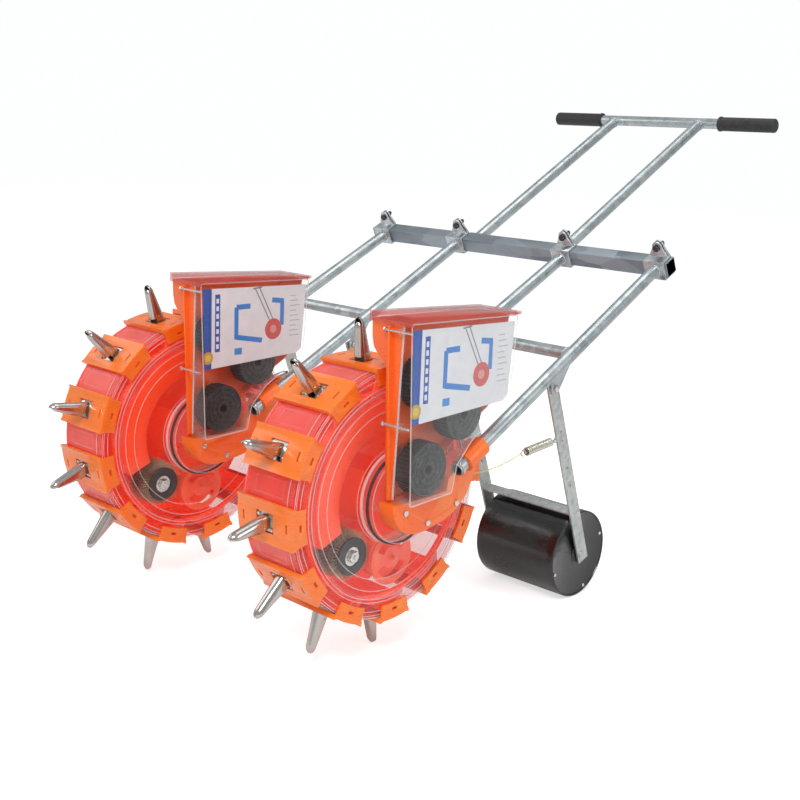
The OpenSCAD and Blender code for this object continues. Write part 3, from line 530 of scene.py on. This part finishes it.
# ------------------------------------------------------------------ drums
for u in "ab":
    body = "drum_" + u
    # clear shell: stepped side walls, grooved rim edges
    prof = [(62, 177.6), (62, 187), (64.3, 187.4), (64.3, 191.6), (61.2, 192), (61.2, 201), (62, 201.6), (62, 203.4), (60.6, 204), (60.6, 208.2),
            (61.6, 208.8), (61.6, 210.4), (60.4, 211), (60.4, 214.4), (61.6, 215), (61.4, 217.2), (60.2, 218.9), (58.6, 219.9)]
    for k in range(4):
        x = 56.6 - 3.6 * k
        prof += [(x + 0.9, 219.9), (x + 0.4, 218.5), (x - 0.9, 218.5), (x - 1.4, 219.9)]
    prof += [(40, 219.9), (0, 219.95)]
    left = [(-x, r) for x, r in reversed(prof[:-1])]
    left[-1] = (-62, 177.1)
    outer = prof + left
    inner = [(-59, 177.1), (-59, 190), (-58.2, 215.6), (-56, 217), (56, 217), (58.2, 215.6), (59, 190), (59, 177.6)]
    bm = bmesh.new()
    revolve(bm, u, outer + inner, seg=192)
    # thin moulded frames on the rim between the saddles
    for i in range(12):
        fm_ = spike_frame(u, PH[u] - LEAD + 15 + 30 * i)
        for (x0, x1, y0, y1) in ((-34, 34, -14, -12.6), (-34, 34, 12.6, 14), (-34, -32.6, -12.6, 12.6), (32.6, 34, -12.6, 12.6)):
            box3(bm, fm_, x0, x1, y0, y1, 219.2, 220.3)
    # thick rounded rims of the clear moulding, drawn in the whiter clear as painted highlight lines
    for x, r in ((63.2, 189.4), (61.4, 205.9), (60.4, 213.4), (60.9, 217.4), (45.0, 219.1), (-60.9, 217.4)):
        revolve(bm, u, [(x + 0.62 * math.cos(math.pi * k / 4), r + 0.62 * math.sin(math.pi * k / 4)) for k in range(8)], seg=144, mi=2)
    bm.faces.ensure_lookup_table()
    hx = HUB[u].x
    for f in bm.faces:
        c = f.calc_center_median()
        rr = math.hypot(c.y - HUB[u].y, c.z - HUB[u].z) / MM
        if (c.x - hx) / MM < -50 and rr < 216.5 and f.material_index == 0:
            f.material_index = 1
        elif abs(c.x - hx) / MM < 56.4 and 216.4 < rr < 217.4 and f.material_index == 0:
            f.material_index = 3
    finish_mesh("drum_clear_" + u, bm, ["clear", "vane", "edge", "rose"], body, 28, 0, replaces=("drum_shell_" + u,))

    # saddles
    rounded("saddles_" + u, body, "saddle", 1.3, 3, 40)

    # fixed spike halves: rolled gouges on a foot plate
    def gouge(bm, mtx, r0, r1, w0, w1, sf0, sf1, d0, d1, sgn, th=1.5, n=14, m_=14):
        """Half-round tapering channel from radius r0 to r1; the open side looks along sgn."""
        outer_, inner_ = [], []
        for i in range(n + 1):
            t = i / n
            tt = t
            r = r0 + (r1 - r0) * tt
            w = w0 + (w1 - w0) * t
            d = d0 + (d1 - d0) * t
            if t > 0.86:
                q = (t - 0.86) / 0.14
                w *= math.sqrt(max(0.0, 1 - (q * 0.95) ** 2))
                d *= 1 - 0.45 * q * q
            sf = sf0 + (sf1 - sf0) * t
            ro, ri = [], []
            for k in range(m_ + 1):
                a = math.pi * k / m_
                cx_, sy_ = math.cos(a), math.sin(a)
                # squarer than a circle near the foot
                e = 0.62 + 0.38 * t
                px = w * math.copysign(abs(cx_) ** e, cx_)
                py = sf - sgn * d * (abs(sy_) ** e)
                ro.append(bm.verts.new(mtx @ Vector((px, py, r))))
                wi = max(w - th, 0.15)
                pxi = wi * math.copysign(abs(cx_) ** e, cx_)
                pyi = sf - sgn * max(d - th, 0.2) * (abs(sy_) ** e)
                ri.append(bm.verts.new(mtx @ Vector((pxi, pyi, r))))
            outer_.append(ro); inner_.append(ri)
        for A, B in zip(outer_, outer_[1:]):
            for k in range(m_):
                bm.faces.new((A[k], A[k + 1], B[k + 1], B[k]))
        for A, B in zip(inner_, inner_[1:]):
            for k in range(m_):
                bm.faces.new((A[k], B[k], B[k + 1], A[k + 1]))
        for k in (0, m_):
            for i in range(n):
                bm.faces.new((outer_[i][k], inner_[i][k], inner_[i + 1][k], outer_[i + 1][k]))
        for O, I in ((outer_[0], inner_[0]), (outer_[-1], inner_[-1])):
            for k in range(m_):
                bm.faces.new((O[k], O[k + 1], I[k + 1], I[k]))
    bm = bmesh.new()
    for i in range(12):
        mtx = spike_frame(u, PH[u] - LEAD + 30 * i)
        gouge(bm, mtx, 222.4, 298.2, 12.6, 9.6, 8.5, 10.4, 22, 9.0, 1, n=22)
        # foot plate with rounded corners
        pts = []
        for sx_, sy_ in ((1, 1), (-1, 1), (-1, -1), (1, -1)):
            for k in range(5):
                a = math.atan2(sy_, sx_) - math.pi / 4 + math.pi / 8 * k
                pts.append((sx_ * 15.4 + 3 * math.cos(a), sy_ * 12.7 + 3 * math.sin(a)))
        lo_ = [bm.verts.new(mtx @ Vector((x, y, 220.6))) for x, y in pts]
        hi_ = [bm.verts.new(mtx @ Vector((x, y, 222.5))) for x, y in pts]
        bm.faces.new(lo_); bm.faces.new(hi_)
        for k in range(len(pts)):
            q = (k + 1) % len(pts)
            bm.faces.new((lo_[k], lo_[q], hi_[q], hi_[k]))
    finish_mesh("spikes_" + u, bm, "steel", body, 40, replaces=("spike_bodies_" + u,))
    for i in range(12):
        node = "jaw_%s_%02d" % (u, i + 1)
        mtx = spike_frame(u, PH[u] - LEAD + 30 * i)
        bm = bmesh.new()
        gouge(bm, mtx, 231.8, 290.6, 10.0, 7.6, 1.5, 9.6, 15.0, 5.6, -1, 1.4, n=20)
        sweep(bm, [mtx @ Vector((x, 4, 236)) for x in (-13.6, -12.9, 12.9, 13.6)], [1.0, 1.5, 1.5, 1.0], 16)
        finish_mesh("jaw_%s_%02d_shell" % (u, i + 1), bm, "steel", node + "_body", 40, replaces=(node,))

# ------------------------------------------------------------------ seed ring, core, metering, hopper
for u in "ab":
    body = "drum_" + u
    rounded("chute_ring_" + u, body, "red", 0.5, 1, 30)
    rounded("metering_roller_" + u, "meter_" + u, "disc", 0.6, 2, 32)
    rounded("hopper_lid_" + u, "lid_" + u, "lid", 0.8, 2, 32)
    rounded("roller_yoke_" + u, "yoke_" + u, "arm", 0.7, 2, 32)

rounded("core_housings", "frame", "housing", 0.8, 2, 32)
rounded("hub_brackets", "frame", "orange", 1.5, 3, 36)
rounded("hopper_backs", "frame", "orange", 1.4, 3, 36)
rounded("hopper_tanks", "frame", "clear", 1.1, 3, 34)
sl = rounded("hub_seals", "frame", "seal", 1.2, 3, 34)
sl.data.materials.append(M["edge"])
for p in sl.data.polygons:
    gx = (sl.matrix_world @ p.center).x
    if min(abs(gx - HUB[u].x) for u in "ab") / MM < 77:
        p.material_index = 1
rounded("clamp_brackets", "frame", "plate", 0.9, 2, 34)
rounded("clamp_bolts", "frame", "bolt", 0.6, 2, 34)
rounded("bolts_and_screws", "frame", "screw", 0.4, 2, 34)
rounded("toolbar", "frame", "bar", 1.6, 3, 34)
rounded("handle_grips", "frame", "rubber", 0.8, 2, 34)

# front covers of the cores: dished disc, hub collar with ridges, feed tube
bm = bmesh.new()
for u in "ab":
    prof = [(58, 76), (58, 176.4), (58.6, 177), (62.4, 177), (62.6, 177.6), (62.6, 183.4), (63.2, 184), (63.8, 184), (64.4, 183.2), (64.4, 169), (63.6, 167.4), (61.4, 166),
            (61, 150), (61.9, 149), (61.9, 147.4), (61, 146.4), (61, 96), (62.4, 92), (63, 84), (64, 79.6), (65.6, 78), (67.4, 78), (67.8, 77), (74, 77), (74.4, 78),
            (80.6, 78), (81, 77), (88, 77), (88.4, 78), (93.6, 78), (94.6, 77), (94.6, 35), (91.8, 34.2), (91.6, 37), (91.6, 73), (90.6, 74), (60, 74)]
    revolve(bm, u, prof, seg=160)
    revolve(bm, u, [(30, 34), (30, 37), (91.5, 37), (91.5, 34)], seg=72)
    disc_x(bm, u, MC[0], MC[1], 61.2, 63, 9, 40, inner=4.2)
    # thin rings in the whiter clear: painted highlight lines
    for x, r in ((64.0, 168.6), (64.0, 183.4), (62.0, 148.2), (94.0, 77.3), (63.3, 82.5)):
        revolve(bm, u, [(x + 0.55 * math.cos(math.pi * k / 4), r + 0.55 * math.sin(math.pi * k / 4)) for k in range(8)], seg=144, mi=1)
finish_mesh("core_covers_clear", bm, ["clear", "edge"], "frame", 30, replaces=("core_covers",))

# back disc of the cores: moulded ribs and rings on the blind side
bm = bmesh.new()
for u in "ab":
    for r0, r1 in ((44, 47), (92, 94.5), (136, 138.5), (172, 175)):
        revolve(bm, u, [(-64.3, r0), (-65.2, r0 + 0.5), (-65.5, r0 + 0.9), (-65.5, r1 - 0.9), (-65.2, r1 - 0.5), (-64.3, r1)], seg=144)
    for k in range(12):
        rm = spike_frame(u, 15 + 30 * k)
        box3(bm, rm, -65.3, -64.3, -1.2, 1.2, 47, 172)
    for k in range(6):
        a = math.radians(30 * (2 * k + 1))
        disc_x(bm, u, 154 * math.cos(a), 154 * math.sin(a), -65.9, -64.3, 5.5, 28, ch=0.5)
finish_mesh("core_back_ribs", bm, "housing", "frame", 34, 0.25, 2)

# brush wheels: hub, dark ring, bolt, and rows of tapered bristles
random.seed(11)
bm = bmesh.new()
for u in "ab":
    cy, cz = BC
    revolve(bm, u, [(-20, 0.01), (-20, 29), (-19, 30), (37, 30), (38, 29), (38, 0.01)], cy, cz, 64, mi=1)
    disc_x(bm, u, cy, cz, 38.2, 43, 33, 72, mi=1, ch=1.0, inner=17.5)
    disc_x(bm, u, cy, cz, 38.2, 41, 17, 48, mi=2, ch=0.7)
    hexhead(bm, u, cy, cz, 41.2, 48.2, 11, mi=2)
    disc_x(bm, u, cy, cz, 48.2, 50.5, 4, 24, mi=2, ch=0.5)
    for row in range(7):
        x0 = -16 + row * 8.6
        for k in range(84):
            a = 2 * math.pi * (k + 0.5 * (row % 2)) / 84 + random.uniform(-0.02, 0.02)
            r1 = random.uniform(43.6, 45)
            a2 = a + random.uniform(-0.03, 0.03)
            x1 = x0 + random.uniform(-1.2, 1.2)
            p0 = U(u, x0, cy + 29 * math.cos(a), cz + 29 * math.sin(a))
            p1 = U(u, x1, cy + r1 * math.cos(a2), cz + r1 * math.sin(a2))
            sweep(bm, [p0, p1], [0.75, 0.4], 4, mi=0)
finish_mesh("brushes", bm, ["brush", "seal", "screw"], "frame", 40, replaces=("brush_wheels",))

# spare seed rollers: ribbed rim, ringed faces, seed cells
bm = bmesh.new()
for u in "ab":
    for (cy, cz, turn) in ((-2, 62, 5), (-2, 206, 31), (82, 144, 17)):
        x0, x1 = 111.6, 145.4
        prof = [(x0, 8), (x0, 43.4), (x0 + 0.8, 44.2), (x1 - 0.8, 44.2), (x1, 43.4), (x1, 41), (x1 - 2.2, 40.4), (x1 - 2.2, 33.6), (x1 - 0.4, 33), (x1 - 0.4, 30.6), (x1 - 2.4, 30),
                (x1 - 2.4, 24), (x1 - 0.4, 23.4), (x1 - 0.4, 21.4), (x1 - 2.6, 20.8), (x1 - 2.6, 14.6), (x1, 14), (x1, 8)]
        revolve(bm, u, prof, cy, cz, 96)
        for k in range(40):
            a = math.radians(turn + 9 * k)
            ey = Vector((0, -math.sin(a), math.cos(a))); ez = Vector((0, math.cos(a), math.sin(a)))
            mtx = Matrix.Translation(U(u, 0, cy, cz)) @ Matrix((Vector((1, 0, 0)), ey, ez)).transposed().to_4x4() @ Matrix.Scale(MM, 4)
            box3(bm, mtx, x0 + 0.6, x1 - 0.6, -1.1, 1.1, 43.6, 45.7)
            if k % 5 == 0:
                box3(bm, mtx, x1 - 2.4, x1 - 0.2, -3.4, 3.4, 34.2, 39.8)
            if k % 4 == 1:
                box3(bm, mtx, x1 - 2.8, x1 - 0.8, -1.0, 1.0, 15, 29.6)
finish_mesh("spare_rollers_ribbed", bm, "dark", "frame", 30, 0.5, 2, replaces=("spare_rollers",))

# clear edge beads along the tank outline, a moulded flange drawn in the whiter clear as painted highlight lines
HOP = [(-62, 309), (205, 302), (195, 161), (172, 137), (98, 96), (62, 59), (52, 13), (-50, 8)]
bm = bmesh.new()
for u in "ab":
    cy = sum(p[0] for p in HOP) / 8
    cz = sum(p[1] for p in HOP) / 8
    pts = []
    for i, p in enumerate(HOP):
        a, c = Vector(HOP[i - 1]), Vector(HOP[(i + 1) % 8])
        p = Vector(p)
        for t in (0.0, 0.25, 0.5, 0.75, 1.0):
            ra = p + (a - p).normalized() * 5 * (1 - t)
            rb = p + (c - p).normalized() * 5 * t
            q = p + ((a - p).normalized() * (1 - t) ** 2 + (c - p).normalized() * t ** 2) * 5
            pts.append(q)
    loop = [U(u, 150.9, q.x * 0.996 + cy * 0.004, q.y * 0.996 + cz * 0.004) for q in pts]
    loop.append(loop[0])
    sweep(bm, loop, 1.05, 8, cap=False)
    # moulded lip along the parting line at the front, in the same whiter clear
    for k in (0, 1):
        sweep(bm, [U(u, 112.5 + 1.8 * k, -51.2, 14), U(u, 134.2 + 1.8 * k, -62.4, 304)], 1.0, 8)
finish_mesh("tank_beads", bm, "edge", "frame", 50)

# wire clips on the tube ends
bm = bmesh.new()
for u in "ab":
    e = U(u, 141.8, 76.5, 49.3)
    d = Vector((0, math.cos(math.radians(26.1)), math.sin(math.radians(26.1))))
    n1 = Vector((0, -d.z, d.y)); n2 = Vector((1, 0, 0))
    ring = []
    for k in range(30):
        a = math.radians(-60 + 300 * k / 29)
        ring.append(e + 0.0137 * (math.cos(a) * n1 + math.sin(a) * n2) + d * 0.0004 * k * 0.1)
    tail = [ring[-1] + d * 0.006 - n1 * 0.004, ring[-1] + d * 0.018 - n1 * 0.012, ring[-1] + d * 0.03 - n1 * 0.013]
    sweep(bm, ring + tail, 1.0, 8)
finish_mesh("tube_clips", bm, "screw", "frame", 60)

# ------------------------------------------------------------------ press rollers and springs
def axle(u):
    return JP["roller_spin_" + u]
for u in "ab":
    ax_ = axle(u) - HUB[u]
    cy, cz = ax_.y / MM, ax_.z / MM
    x0, x1 = -73, 119
    bm = bmesh.new()
    prof = [(x0 + 3, 8.1), (x0 - 0.8, 9), (x0 - 0.8, 17), (x0 + 0.4, 18.6), (x0 + 2.4, 20), (x0 + 2.4, 82), (x0 + 1.6, 83.4), (x0, 84.2), (x0, 86), (x0 + 0.8, 87.4), (x0 + 2.6, 88)]
    for k in range(1, 12):
        prof.append((x0 + 2.6 + (x1 - x0 - 5.2) * k / 12, 88 - (0.12 if k % 3 else 0)))
    prof += [(x1 - 2.6, 88), (x1 - 0.8, 87.4), (x1, 86), (x1, 84.2), (x1 - 1.6, 83.4), (x1 - 2.4, 82), (x1 - 2.4, 20), (x1 - 0.4, 18.6), (x1 + 0.8, 17), (x1 + 0.8, 9), (x1 - 3, 8.1)]
    revolve(bm, u, prof, cy, cz, 144)
    for k in range(4):
        a = math.radians(90 * k + 20)
        for s_, xx in ((-1, x0), (1, x1)):
            a_, b_ = (xx + 2.4, xx + 0.4) if s_ < 0 else (xx - 2.4, xx - 0.4)
            disc_x(bm, u, cy + 78 * math.cos(a), cz + 78 * math.sin(a), min(a_, b_), max(a_, b_), 3.6, 20, mi=1, ch=0.8)
    finish_mesh("press_roller_%s_drum" % u, bm, ["black", "screw"], "roller_" + u, 30, replaces=("press_roller_" + u,))

    # extension spring: hook, close coils, hook, pull wire
    lo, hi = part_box("arm_spring_" + u)
    x = (lo.x + hi.x) / 2
    p = U(u, 0, 391, 44); q = U(u, 0, 138.5, 22)
    p.x = q.x = x
    v = (q - p).normalized()
    n1 = Vector((1, 0, 0)); n2 = v.cross(n1).normalized()
    pts = []
    for k in range(14):
        a = math.pi * 1.4 * k / 13
        pts.append(p + v * (0.006 - 0.006 * math.cos(a)) + n2 * 0.006 * math.sin(a) * (1 if k < 13 else 0.8))
    pts = pts[::-1]
    pts.append(p + v * 0.0185)
    turns, r_ = 30, 0.0071
    for k in range(turns * 14 + 1):
        a = 2 * math.pi * k / 14
        g = min(1, k / 10, (turns * 14 - k) / 10)
        pts.append(p + v * (0.021 + 0.078 * k / (turns * 14)) + (n1 * math.cos(a) + n2 * math.sin(a)) * r_ * max(g, 0.15))
    bm = bmesh.new()
    sweep(bm, pts, 1.22, 7)
    hook = [p + v * 0.0995]
    for k in range(12):
        a = math.pi * 1.5 * k / 11
        hook.append(p + v * (0.106 - 0.006 * math.cos(a)) + n2 * 0.006 * math.sin(a))
    sweep(bm, hook, 1.2, 8)
    wire = [p + v * 0.1125 + n2 * 0.002]
    for k in range(1, 26):
        t = k / 25
        wire.append(p + v * 0.1125 + (q - p - v * 0.1125) * t + Vector((0, 0, -0.006 * math.sin(math.pi * t))))
    sweep(bm, wire, 1.0, 8, mi=1)
    sp = finish_mesh("spring_" + u, bm, ["spring", "wire"], "yoke_" + u, 60, replaces=("arm_spring_" + u,), ride=False)
    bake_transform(sp)

# ------------------------------------------------------------------ weld beads
def weld(bm, c, d, r, n=26, w=1.5, tilt=None):
    d = d.normalized()
    s = d.cross(Vector((0, 0, 1))).normalized()
    t = d.cross(s)
    pts, rad = [], []
    for k in range(n * 4 + 1):
        a = 2 * math.pi * k / (n * 4)
        off = d * (tilt(a) if tilt else 0.0)
        pts.append(c + r * (math.cos(a) * s + math.sin(a) * t) + off)
        rad.append(w * (0.82 + 0.28 * abs(math.sin(a * n / 2))))
    sweep(bm, pts, rad, 8, cap=False)
bm = bmesh.new()
BY, BZ, FA = 702.7, 356.0, math.radians(26.1)
fd = Vector((0, math.cos(FA), math.sin(FA)))
for u in "ab":
    for x in (-114, 120):
        c = U(u, x, BY, BZ) - fd * 0.0211
        weld(bm, c, fd, 0.0127)
for x in (-109, 138):
    c = (HUB["a"] + HUB["b"]) / 2 + Vector((x, BY, BZ)) * MM + fd * 0.0195
    weld(bm, c, fd, 0.0127)
    ha = math.atan2(650 - BZ, 1249.9 - BY)
    hd = Vector((0, math.cos(ha), math.sin(ha)))
    e = (HUB["a"] + HUB["b"]) / 2 + Vector((x, 1249.9, 650)) * MM
    weld(bm, e - hd * 0.0065, hd, 0.0128, tilt=lambda a: -0.0062 * abs(math.sin(a)) ** 2)
for u in "ab":
    s_ = 337
    cyy, czz = BY - s_ * math.cos(FA), BZ - s_ * math.sin(FA)
    xo_ = 120 + 22 * s_ / 701.7
    for x, sg in ((-114, 1), (xo_, -1)):
        weld(bm, U(u, x + sg * 7.4, cyy, czz), Vector((sg, 0, 0)), 0.0122, tilt=lambda a: 0.0052 * abs(math.cos(a)) ** 2)
finish_mesh("weld_beads", bm, "weld", "frame", 60)

# ------------------------------------------------------------------ floor
fm, nt, b = new_mat("floor")
nt.links.new(ramp(nt, noise(nt, coords(nt), 3, 4), [(0.3, (0.86, 0.86, 0.86)), (0.8, (0.82, 0.82, 0.82))]), b.inputs["Base Color"])
b.inputs["Roughness"].default_value = 0.7
b.inputs["Emission Color"].default_value = (1, 1, 1, 1)
flp = nd(nt, "ShaderNodeLightPath")
nt.links.new(vramp(nt, flp.outputs["Is Camera Ray"], 0.10, 0.62), b.inputs["Emission Strength"])
bm = bmesh.new()
bmesh.ops.create_grid(bm, x_segments=8, y_segments=8, size=12)
me = bpy.data.meshes.new("floor")
bm.to_mesh(me); bm.free()
floor = bpy.data.objects.new("floor", me)
floor.location = (0, 0, -0.0005)
me.materials.append(fm)
bpy.context.scene.collection.objects.link(floor)
